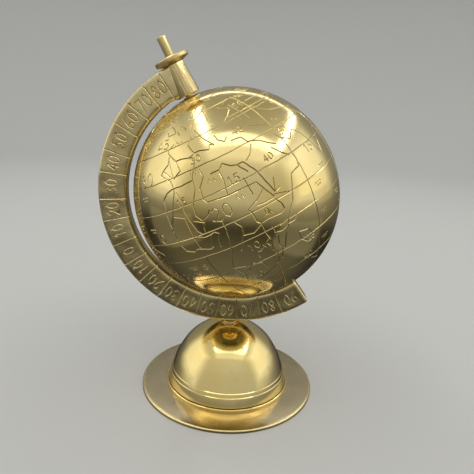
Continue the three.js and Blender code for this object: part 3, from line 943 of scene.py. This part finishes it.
class Arc:
    """The arc's outline in its own plane, by radius and by angle from the north axis."""

    CORNER = 1.6
    FILLET_START, FILLET_END = math.radians(9.5), math.radians(4.6)
    FILLET_RISE = 1.1
    OUTER_ROLL, OUTER_DROP = 1.5, 0.8
    INNER_ROLL, INNER_DROP = 2.0, 1.25
    INSETS = (0.07, 0.22, 0.5, 0.85, 1.3, 2.0)
    EDGE_STEP = 1.2

    def __init__(self):
        points = local_points("meridian_arc", TILTED)
        radii = np.hypot(points[:, 0], points[:, 2])
        angles = np.arctan2(-points[:, 0], points[:, 2]) % (2 * math.pi)
        self.half = points[:, 1].max()
        self.outer = radii.max()
        middle = abs(angles - math.pi / 2) < math.radians(40)
        self.inner = radii[middle].min()
        past_boss = math.radians(300)
        self.end = angles[angles < past_boss].max()
        self.start_x = math.sqrt(BOSS_CONE.radius(self.outer) ** 2 - self.half ** 2)

    def inner_at(self, angle):
        """The inner radius, which a fillet draws in near the boss."""
        t = (self.FILLET_START - angle) / (self.FILLET_START - self.FILLET_END)
        t = max(0.0, min(1.0, t))
        return self.inner - self.FILLET_RISE * t * t * (3 - 2 * t)

    def point(self, radius, angle):
        return Vector((-radius * math.sin(angle), radius * math.cos(angle)))

    def outline(self, inset):
        """From the boss down the outer edge, round the south end and back up the inner edge."""
        points = []
        outer = self.outer - inset
        first, last = math.asin(self.start_x / outer), self.end - self.CORNER / self.outer
        count = round((last - first) * outer / self.EDGE_STEP)
        points += [self.point(outer, first + (last - first) * i / count) for i in range(count)]
        round_off = max(0.05, self.CORNER - inset)
        for side in (1, -1):
            middle = self.outer - self.CORNER if side == 1 else self.inner + self.CORNER
            for i in range(7):
                turn = math.pi / 12 * (i if side == 1 else 6 - i)
                radius = middle + side * round_off * math.cos(turn)
                short = self.CORNER - round_off * math.sin(turn)
                points.append(self.point(radius, self.end - short / radius))
            if side == 1:
                points += self.end_line(inset)
        inner = self.inner + inset
        last = self.end - self.CORNER / self.inner
        first = math.asin(self.start_x / (self.inner - self.FILLET_RISE + inset))
        count = round((last - first) * inner / self.EDGE_STEP)
        for i in range(1, count + 1):
            angle = last + (first - last) * i / count
            points.append(self.point(self.inner_at(angle) + inset, angle))
        return points

    def end_line(self, inset):
        start, stop = self.outer - self.CORNER, self.inner + self.CORNER
        count = round(start - stop)
        radii = [start + (stop - start) * i / count for i in range(1, count)]
        return [self.point(radius, self.end - inset / radius) for radius in radii]

    def edge_distances(self, flat):
        """How far a point is from the outer, the inner and the south end's edge."""
        radius = flat.length
        angle = math.atan2(-flat.x, flat.y) % (2 * math.pi)
        outer, inner = self.outer - radius, radius - self.inner_at(angle)
        end = (self.end - angle) * radius
        corner = self.CORNER
        if end < corner and outer < corner:
            outer = end = corner - math.hypot(corner - outer, corner - end)
        elif end < corner and inner < corner:
            inner = end = corner - math.hypot(corner - inner, corner - end)
        return outer, inner, end

    def edge_drop(self, flat, inner_roll, inner_drop):
        """How far the face has rolled back near its edges."""
        outer, inner, end = self.edge_distances(flat)
        rolls = ((outer, self.OUTER_ROLL, self.OUTER_DROP), (end, self.OUTER_ROLL, self.OUTER_DROP),
                 (inner, inner_roll, inner_drop))
        drop = 0.0
        for distance, width, height in rolls:
            if distance < width:
                share = 1 - max(distance, 0.0) / width
                drop = max(drop, height * (1 - math.sqrt(max(0.0, 1 - share * share))))
        return drop

    def inside(self, flat):
        if flat.y > 0 and flat.x > -self.start_x + 1e-4:
            return False
        return min(self.edge_distances(flat)) > 1e-3


ARC = Arc()
# Degrees from the north end to each cut between the cells. They come from a least-squares fit
# to points read in the photo, apart from 87.0, 165.0 and 175.5, which were given one by one.
CELL_ANGLES = (6.6, 14.6, 23.9, 33.1, 44.6, 54.0, 65.8, 75.4, 87.0, 96.6, 106.3, 116.6, 125.9, 135.3,
               144.9, 154.5, 165.0, 175.5, 187.9)
ARC_NUMBER_HEIGHT, ARC_NUMBER_NARROW = 6.2, 0.7
# (width, depth) of the cuts between the cells, and of the numbers in them.
CELL_CUT, NUMBER_CUT = (0.7, 0.3), (0.68, 0.27)
FACE_WAVE = 0.022


def arc_grooves():
    """Straight cuts between the cells, and a number of degrees in each, tops outward."""
    lines = []
    for angle in CELL_ANGLES[:-1]:
        lean = math.radians(angle + 0.5 * math.sin(angle))
        ends = ARC.point(ARC.outer - 0.7, math.radians(angle)), ARC.point(ARC.inner_at(lean) - 1, lean)
        lines.append((ends, CELL_CUT))
    for index, (start, end) in enumerate(zip(CELL_ANGLES, CELL_ANGLES[1:])):
        out = ARC.point(1, math.radians((start + end) / 2))
        along = Vector((out.y, -out.x))
        centre = out * ((ARC.outer + ARC.inner) / 2 + 0.5)
        for stroke in number_strokes(str(abs(80 - 10 * index)), ARC_NUMBER_HEIGHT, ARC_NUMBER_NARROW):
            lines.append(([centre + along * x + out * y for x, y in stroke], NUMBER_CUT))
    grooves = []
    for flats, size in lines:
        dense = [point + wobble(point) * 0.5 for point in resample([upright(flat) for flat in flats])]
        for point in dense:
            point.y = 0
        grooves.append(Groove(dense, [Vector((0, -1, 0))] * len(dense), *size))
    return grooves


def upright(flat, y=0.0):
    """A point of the arc's drawing, at a depth."""
    return Vector((flat.x, y, flat.y))


def arc_patch(border, step, clear):
    """The drawing of one face: its border, rows that follow the edges, and points between them."""
    patch = Patch()
    patch.line(border, closed=True)
    for inset in ARC.INSETS:
        patch.line(ARC.outline(inset))
    reach = ARC.INSETS[-1]
    width = ARC.outer - ARC.inner - 2 * reach
    rows = max(2, round(width / step))
    for row in range(1, rows):
        radius = ARC.inner + reach + width * row / rows
        count = round(ARC.end * radius / step)
        for i in range(count):
            flat = ARC.point(radius, ARC.end * (i + 0.5 * (row % 2)) / count)
            beside_boss = flat.y > 0 and flat.x > -ARC.start_x - 0.4
            if clear(flat) and not beside_boss and min(ARC.edge_distances(flat)) > reach:
                patch.points.append(flat)
    return patch


def closing_line():
    """The straight edge that meets the boss, from the inner edge out."""
    first, last = ARC.outline(0.0)[-1], ARC.outline(0.0)[0]
    count = round((last - first).length / 0.8)
    return [first.lerp(last, i / count) for i in range(1, count)]


def face_wave(flat, y):
    return abs(FACE_WAVE * noise.noise(upright(flat, y) * 0.11))


def arc_front():
    grooves = arc_grooves()
    depths = GrooveDepths(grooves)
    patch = arc_patch(ARC.outline(0.0) + closing_line(), 1.1,
                      lambda flat: depths.nearest(upright(flat))[0] > 1.9)
    for outline in (outline for groove in grooves for outline in groove.outlines()):
        patch.line([Vector((point.x, point.z)) for point in outline])
    flats, faces = patch.sheet(ARC.inside)
    cuts = [depths.depth(upright(flat)) for flat in flats]
    points = []
    for flat, cut_depth in zip(flats, cuts):
        drop = ARC.edge_drop(flat, ARC.INNER_ROLL, ARC.INNER_DROP)
        points.append(upright(flat, -ARC.half + face_wave(flat, 0) + drop + cut_depth))
    return flats, points, faces, cuts


def arc_back(border):
    flats, faces = arc_patch(border, 2.4, lambda flat: True).sheet(ARC.inside)
    points = []
    for flat in flats:
        drop = ARC.edge_drop(flat, ARC.OUTER_ROLL, ARC.OUTER_DROP)
        points.append(upright(flat, ARC.half - face_wave(flat, 50) - drop))
    return flats, points, faces


def against_boss(point):
    """Keeps the arc's north end on the outside of the round boss."""
    if point.z < 0:
        return point
    reach = math.sqrt(max(0.0, BOSS_CONE.radius(point.z) ** 2 - point.y ** 2))
    return Vector((min(point.x, -reach), point.y, point.z))


def build_arc(material):
    flats, points, faces, cuts = arc_front()
    loop = max(border_loops(faces), key=len)
    back_flats, back_points, back_faces = arc_back([flats[i] for i in loop])
    start = len(points)
    points += back_points
    faces += [[start + i for i in reversed(face)] for face in back_faces]
    finder = kdtree.KDTree(len(back_flats))
    for i, flat in enumerate(back_flats):
        finder.insert((*flat, 0), i)
    finder.balance()
    levels = 8
    columns = []
    for index in loop:
        match = start + finder.find((*flats[index], 0))[1]
        column = [index]
        for level in range(1, levels):
            column.append(len(points))
            points.append(points[index].lerp(points[match], level / levels))
        columns.append(column + [match])
    for first, second in zip(columns, columns[1:] + columns[:1]):
        for low in range(levels):
            faces.append([first[low + 1], second[low + 1], second[low], first[low]])
    cuts += [0.0] * (len(points) - len(cuts))
    points = [against_boss(point) for point in points]
    arc = make_object("meridian_arc_engraved", points, faces, TILTED, material)
    store_grooves(arc, [cut_depth / NUMBER_CUT[1] for cut_depth in cuts])
    stands_for(arc, "meridian", "arc_brass", "meridian_arc")


# ------------------------------------------------------------------ turned pieces of the tilted axis

def plain_ring(node, name, body, slot, place, fillets, material, segments=SMALL_SEGMENTS):
    """A ring with fillets at its inner low, outer low, outer high and inner high corners."""
    low, high, inner, outer = span(node, place)
    corners = list(zip((inner, outer, outer, inner), (low, low, high, high), fillets))
    stands_for(turned(name, corners, place, material, segments), body, slot, node)


def build_boss(material):
    cone = BOSS_CONE
    crown = cone.high + 0.18
    boss = turned("north_boss_filed", [
        (cone.bore, cone.low, 0.15), (cone.foot, cone.low, 0.7), (cone.head, crown, 0.2),
        (cone.bore, crown, 0.15),
    ], TILTED, material, LATHE_SEGMENTS)
    stands_for(boss, "meridian", "turned_brass", "north_boss")


def build_axle(material):
    low, high, _, rod = span("axle_rod")
    rod_piece = turned("axle_rod_turned", [
        (0, low), (rod, low, 0.4), (rod, high, 0.3), (0, high),
    ], TILTED, material)
    stands_for(rod_piece, "axle", "turned_brass", "axle_rod")

    low, high, bore, rim = span("axle_knob")
    seat = low - 0.12
    knob = turned("axle_knob_turned", [
        (bore, seat, 0.1), (4.3, seat, 0.2), (rim, low + 1.15, 0.35), (rim, high - 0.75, 0.45),
        (rim - 0.7, high - 0.25, 0.5), (3.4, high, 0.8), (bore, high, 0.1),
    ], TILTED, material, LATHE_SEGMENTS)
    stands_for(knob, "axle", "turned_brass", "axle_knob")

    low, high, _, radius = span("axle_handle")
    socket = low + 2.4
    handle = turned("axle_handle_turned", [
        (0, socket), (bore, socket, 0.1), (bore, low, 0.1), (radius, low, 0.2), (radius, high, 0.35),
        (0, high),
    ], TILTED, material)
    stands_for(handle, "axle", "turned_brass", "axle_handle")


# ------------------------------------------------------------------ base

def build_brim(material):
    low, high, _, radius = span("base_plate", UPRIGHT)
    flat, droop, line_depth, line_half = 33.0, 0.35, 0.25, 0.3
    crown = [(r, high - droop * ((r - flat) / (radius - flat)) ** 2)
             for r in np.linspace(radius - 1.8, flat + 1, 9)]
    lines = [[(r - line_half, low), (r, low + line_depth), (r + line_half, low)] for r in (15.1, 40.1)]
    brim = turned("base_plate_brim", [
        (0, low), *lines[0], (22, low), (flat, low), *lines[1], (radius, low, 0.4),
        (radius, high - droop, 1.1), *crown, (flat, high), (0, high),
    ], UPRIGHT, material, 2 * LATHE_SEGMENTS)
    cut(brim, *screw_tools())
    stands_for(brim, "base", "satin_brass", "base_plate")


# The bell's outside by (radius, height), from its lower edge to near its crown, and the
# heights of the two fine lines turned round its skirt.
BELL = [(31.9, 3.6), (31.4, 5.8), (30.6, 8.7), (29.3, 12.3), (27.5, 16.6), (25.2, 20.9), (21.8, 25.9),
        (17.2, 30.2), (12.2, 33.3), (7.2, 35.3), (2.8, 36.0)]
BELL_WALL = 1.2
BELL_LINES = (8.5, 10.6)


def build_foot(material):
    low, high, inner, radius = span("foot_ring", UPRIGHT)
    lip, raised, edge = low + 1.3, 29.6, BELL[0][0]
    step = lip - 0.35
    foot = turned("foot_ring_turned", [
        (inner, low, 0.1), (radius, low, 0.1), (radius, lip, 0.5), (edge + 0.15, lip, 0.1),
        (edge - 0.1, step), (raised, step), (raised, high, 0.4), (inner, high, 0.3),
    ], UPRIGHT, material, 2 * LATHE_SEGMENTS)
    cut(foot, *screw_tools())
    stands_for(foot, "base", "polished_brass", "foot_ring")


def smooth_curve(stops, steps):
    """A curve through its stops (Catmull-Rom)."""
    ends = [Vector(stop) for stop in (stops[0], *stops, stops[-1])]
    curve = []
    for before, start, end, after in zip(ends, ends[1:], ends[2:], ends[3:]):
        for t in (i / steps for i in range(steps)):
            push, pull = (end - before) / 2, (after - start) / 2
            bend = (2 * t ** 3 - 3 * t ** 2 + 1) * start + (t ** 3 - 2 * t ** 2 + t) * push
            curve.append(bend + (3 * t ** 2 - 2 * t ** 3) * end + (t ** 3 - t ** 2) * pull)
    return curve + [Vector(stops[-1])]


def with_lines(curve, heights, half, depth):
    """A profile that rises, with a fine V turned into it at each height."""
    marked = [point for point in curve if all(abs(point.y - h) > half for h in heights)]
    for h in heights:
        after = next(i for i, point in enumerate(marked) if point.y > h)
        low, high = marked[after - 1], marked[after]
        sides = [low.lerp(high, (h + side - low.y) / (high.y - low.y)) for side in (-half, 0, half)]
        sides[1].x -= depth
        marked[after:after] = sides
    return marked


def build_dome(material):
    low, high, hole, _ = span("base_dome", UPRIGHT)
    outside = smooth_curve(BELL, 8)
    inside = []
    for before, point, after in zip(outside, outside[1:], outside[2:]):
        along = (after - before).normalized()
        inner = point + Vector((-along.y, along.x)) * BELL_WALL
        if hole < inner.x and low < inner.y:
            inside.append(inner)
    crown, skirt = inside[-1].y, inside[0].x
    outside = with_lines(outside, BELL_LINES, 0.24, 0.2)
    dome = turned("base_dome_spun", [
        (outside[0].x, low, 0.15), *outside[1:-1], (hole, high, 0.1), (hole, crown),
        *reversed(inside), (skirt, low, 0.1),
    ], UPRIGHT, material, 2 * LATHE_SEGMENTS)
    stands_for(dome, "base", "polished_brass", "base_dome")


def build_collar(material):
    low, high, bore, foot = span("neck_collar", UPRIGHT)
    waist, lip = foot - 1.05, foot - 0.6
    collar = turned("neck_collar_turned", [
        (bore, low), (foot, low, 0.1), (foot, low + 0.4, 0.2), (waist, low + 0.5, 0.2),
        (waist, high - 0.5, 0.2), (lip, high - 0.35, 0.15), (lip, high, 0.1), (bore, high),
    ], UPRIGHT, material)
    stands_for(collar, "base", "turned_brass", "neck_collar")


# ------------------------------------------------------------------ fasteners

SCREWS = ("plate_screw_1", "plate_screw_2", "plate_screw_3")
SCREW_HEAD, SCREW_SHANK, SCREW_CONE = 2.1, 1.0, 1.1
SCREW_SEGMENTS = 48
SCREW_ROOM = 0.3


def thread(low, high, crest, root, pitch):
    """Profile corners of the V ridges along a screw, from below to above."""
    starts = [low + pitch * i for i in range(int((high - low) / pitch))]
    ridge = ((root, 0.05), (crest, 0.5), (root, 0.95))
    return [(radius, start + share * pitch) for start in starts for radius, share in ridge]


def screw_place(node):
    low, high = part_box(node)
    middle = (low + high) / 2
    return Matrix.Translation((middle.x, middle.y, 0))


def screw_tools():
    """The plate screws' shape, a little larger, for cutting their holes."""
    tools = []
    head, shank = SCREW_HEAD + SCREW_ROOM, SCREW_SHANK + SCREW_ROOM
    for node in SCREWS:
        place = screw_place(node)
        low, high, _, _ = span(node, place)
        tools.append(turned(node + "_tool", [
            (0, -1), (head, -1), (head, low), (shank, low + SCREW_CONE), (shank, high + SCREW_ROOM),
            (0, high + SCREW_ROOM),
        ], place, None, SCREW_SEGMENTS))
    return tools


def box_tool(size, centre, place):
    """A plain block that cuts a slot."""
    points = [[c + s * side / 2 for c, s, side in zip(centre, size, corner)]
              for corner in itertools.product((-1, 1), repeat=3)]
    faces = [(0, 1, 3, 2), (4, 6, 7, 5), (0, 4, 5, 1), (2, 3, 7, 6), (0, 2, 6, 4), (1, 5, 7, 3)]
    return make_object("slot_tool", points, faces, place, None)


def build_screws(material):
    for index, node in enumerate(SCREWS):
        place = screw_place(node)
        low, high, _, _ = span(node, place)
        cone, root = low + SCREW_CONE, SCREW_SHANK - 0.2
        screw = turned(node + "_slotted", [
            (0, low), (SCREW_HEAD, low, 0.12), (SCREW_SHANK, cone),
            *thread(cone, high - 0.2, SCREW_SHANK, root, 0.4), (SCREW_SHANK - 0.25, high), (0, high),
        ], place, material, SCREW_SEGMENTS)
        turn = place @ Matrix.Rotation(math.radians(25 + 50 * index), 4, "Z")
        cut(screw, box_tool((6, 0.55, 1.2), (0, 0, low), turn))
        stands_for(screw, "base", "steel", node)


def build_stud(material):
    low, high, _, radius = span("swivel_stud", UPRIGHT)
    tip, crest = radius - 0.6, radius - 0.1
    stud = turned("swivel_stud_threaded", [
        (0, low), (tip, low), (crest, low + 0.5),
        *thread(low + 0.5, high - 0.6, radius, radius - 0.42, 0.8),
        (crest, high - 0.5), (tip, high), (0, high),
    ], UPRIGHT, material)
    stands_for(stud, "meridian", "steel", "swivel_stud")


def build_nut(material):
    low, high, bore, corner = span("stud_nut", UPRIGHT)
    flats = corner * math.cos(math.pi / 6)
    ends = [(corner * math.cos(math.pi * i / 3), corner * math.sin(math.pi * i / 3)) for i in range(6)]
    points = [(x, y, z) for z in (low, high) for x, y in ends]
    faces = [tuple(range(5, -1, -1)), tuple(range(6, 12))]
    faces += [(i, (i + 1) % 6, 6 + (i + 1) % 6, 6 + i) for i in range(6)]
    nut = make_object("stud_nut_chamfered", points, faces, UPRIGHT, material)
    slope = (corner - flats) * math.tan(math.radians(30)) + 0.15
    envelope = turned("nut_envelope", [
        (bore - 0.2, low), (flats - 0.1, low), (corner + 0.3, low + slope), (corner + 0.3, high - slope),
        (flats - 0.1, high), (bore - 0.2, high),
    ], UPRIGHT, None)
    cut(nut, envelope, operation="INTERSECT")
    stands_for(nut, "meridian", "turned_brass", "stud_nut")


def build_lock_washer(material):
    """A split spring washer, whose ends stand a little apart."""
    low, high, bore, radius = span("stud_lock_washer", UPRIGHT)
    rise, steps = 0.18, 60
    start, end = math.radians(13), math.radians(358)
    points, faces = [], []
    for i in range(steps + 1):
        turn, lift = start + (end - start) * i / steps, rise * i / steps
        floor, roof = low + lift, high - rise + lift
        section = [(bore, floor), (radius, floor), (radius, roof), (bore, roof)]
        points += [(r * math.cos(turn), r * math.sin(turn), z) for r, z in section]
    for here in range(0, 4 * steps, 4):
        faces += [(here + k, here + 4 + k, here + 4 + (k + 1) % 4, here + (k + 1) % 4) for k in range(4)]
    last = 4 * steps
    faces += [(0, 1, 2, 3), (last + 3, last + 2, last + 1, last)]
    ring = make_object("stud_lock_washer_split", points, faces, UPRIGHT, material)
    stands_for(ring, "meridian", "steel", "stud_lock_washer")


# ------------------------------------------------------------------ studio

def build_floor(material):
    """A pale floor that sweeps up all round into a plain wall. Mirrors don't see it."""
    flat, bend, wall, below, thickness = 900, 450, 500, -0.05, 20
    reach, top, outside = flat + bend, bend + wall, flat + bend + thickness
    curve = [(flat + bend * math.sin(t), below + bend * (1 - math.cos(t)))
             for t in (math.pi / 2 * i / 16 for i in range(17))]
    profile = [(0, below), *curve, (reach, top), (outside, top), (outside, -thickness), (0, -thickness)]
    floor = turned("studio_floor", profile[::-1], UPRIGHT, material, LATHE_SEGMENTS)
    floor.visible_glossy = False
    floor.visible_shadow = False


def panel(name, place, aim, size, glow):
    """A soft rectangular light, by its place from the globe's centre in metres and its brightness."""
    light = bpy.data.lights.new(name, "AREA")
    light.shape = "RECTANGLE"
    light.size, light.size_y = size
    light.energy = glow * math.pi * size[0] * size[1]
    light.color = (1.0, 1.0, 0.96)
    item = bpy.data.objects.new(name, light)
    bpy.context.scene.collection.objects.link(item)
    item.location = CENTRE + Vector(place)
    item.rotation_euler = (Vector(aim) - Vector(place)).to_track_quat("-Z", "Y").to_euler()
    return item


def build_lights():
    """A frame of four strips overhead, and soft panels on each side, the larger ones dimmer."""
    height, glow, width = 0.5, 4.6, 0.07
    left, right, front, back = -0.285, 0.40, -0.27, 0.58
    middle_x, middle_y = (left + right) / 2, (front + back) / 2
    across, deep = right - left, back - front
    strips = {
        "strip_front": ((middle_x, front + 0.03), (across, 2 * width), 0.34),
        "strip_back": ((middle_x, back), (across, width), 0.65),
        "veil_front_near": ((middle_x, -0.40), (1.2 * across, 0.18), 0.08),
        "veil_front_far": ((middle_x, -0.42), (1.3 * across, 0.26), 0.04),
        "strip_left": ((left, middle_y), (width, deep), 1.0),
        "strip_right": ((right, middle_y), (width, deep), 1.0),
    }
    for name, ((x, y), size, share) in strips.items():
        strip = panel(name, (x, y, height), (x, y, 0), size, glow * share)
        strip.rotation_euler = (0, 0, 0)
    away = 1.5
    for side, name, rise in ((-1, "left", 0.5), (1, "right", 0.6)):
        for layer, (reach, share) in enumerate(((1.0, 0.12), (0.8, 0.2), (0.6, 0.25))):
            place = (side * (away - 0.02 * layer), 0.05, rise)
            panel(f"side_{name}_{layer}", place, (0, 0, 0.06), (reach * 2.3, reach * 1.56), share)
        panel(f"low_{name}", (side * away, -0.35, -0.9), (0, 0, 0), (1.9, 0.9), 0.11)


# The sky's brightness by the height of its direction, from straight down at -1 to straight up.
SKY = ((-1, 0.13), (-0.75, 0.10), (-0.5, 0.05), (-0.37, 0.055), (-0.28, 0.17), (-0.1, 0.34),
       (0.03, 0.52), (0.4, 0.56), (0.65, 0.68), (0.8, 0.62), (1, 0.42))


def build_sky():
    """A pale sky, dimmer behind the globe, that darkens below the horizon as a table would."""
    world = bpy.data.worlds.new("soft_sky")
    bpy.context.scene.world = world
    world.use_nodes = True
    tree = world.node_tree
    place = add_node(tree, "ShaderNodeTexCoord", {}).outputs["Generated"]
    parts = add_node(tree, "ShaderNodeSeparateXYZ", {0: place}).outputs
    lift = add_node(tree, "ShaderNodeMapRange", {"Value": parts["Z"], "From Min": -1.0})
    behind = add_node(tree, "ShaderNodeMapRange", {
        "Value": parts["Y"], "From Max": 0.8, "To Min": 1.0, "To Max": 0.45,
    })
    ramp = add_node(tree, "ShaderNodeValToRGB", {0: lift.outputs["Result"]})
    background = tree.nodes["Background"].inputs
    feed(tree, background["Color"], ramp.outputs["Color"])
    feed(tree, background["Strength"], behind.outputs["Result"])
    elements = ramp.color_ramp.elements
    for _ in SKY[2:]:
        elements.new(0.5)
    for element, (height, value) in zip(elements, SKY):
        element.position = (height + 1) / 2
        element.color = (value, value, value * 0.96, 1.0)


def build_camera():
    """In front of the globe and a little above it, aimed below its centre, with a slight roll."""
    distance, azimuth, elevation, roll = 0.249, math.radians(-1.35), math.radians(11.65), math.radians(3.2)
    aim = CENTRE + Vector((0.0013, 0, -0.0223))
    flat = math.cos(elevation)
    away = Vector((math.sin(azimuth) * flat, -math.cos(azimuth) * flat, math.sin(elevation)))
    lens = bpy.data.cameras.new("camera")
    lens.sensor_width = 36
    lens.lens = 37.9
    lens.clip_start = 0.01
    camera = bpy.data.objects.new("camera", lens)
    bpy.context.scene.collection.objects.link(camera)
    camera.location = CENTRE + away * distance
    facing = (aim - camera.location).to_track_quat("-Z", "Y").to_matrix()
    camera.rotation_euler = (facing @ Matrix.Rotation(roll, 3, "Z")).to_euler()
    bpy.context.scene.camera = camera


# ------------------------------------------------------------------ everything together

def build_all():
    plain_polished = polished_brass("polished_brass_plain", engraved=False)
    turned_finish = turned_brass("turned_brass")
    steel = plated_steel()
    build_globe(polished_brass("polished_brass", engraved=True), turned_finish)
    build_arc(arc_brass())
    build_boss(filed_brass())
    build_axle(turned_brass("handled_brass", dull=0.26))
    plain_ring("south_thrust_washer", "south_thrust_washer_turned", "meridian", "steel", TILTED,
               (0.1, 0.25, 0.25, 0.1), steel)
    build_brim(satin_brass())
    build_foot(plain_polished)
    build_dome(plain_polished)
    build_collar(turned_finish)
    build_screws(steel)
    build_stud(steel)
    build_nut(turned_finish)
    plain_ring("stud_washer", "stud_washer_stamped", "base", "steel", UPRIGHT,
               (0.1, 0.25, 0.12, 0.25), steel)
    build_lock_washer(steel)
    build_floor(studio_grey("pale_floor", 0.62))
    build_lights()
    build_sky()
    build_camera()
    bpy.context.scene.view_settings.view_transform = "Standard"


build_all()
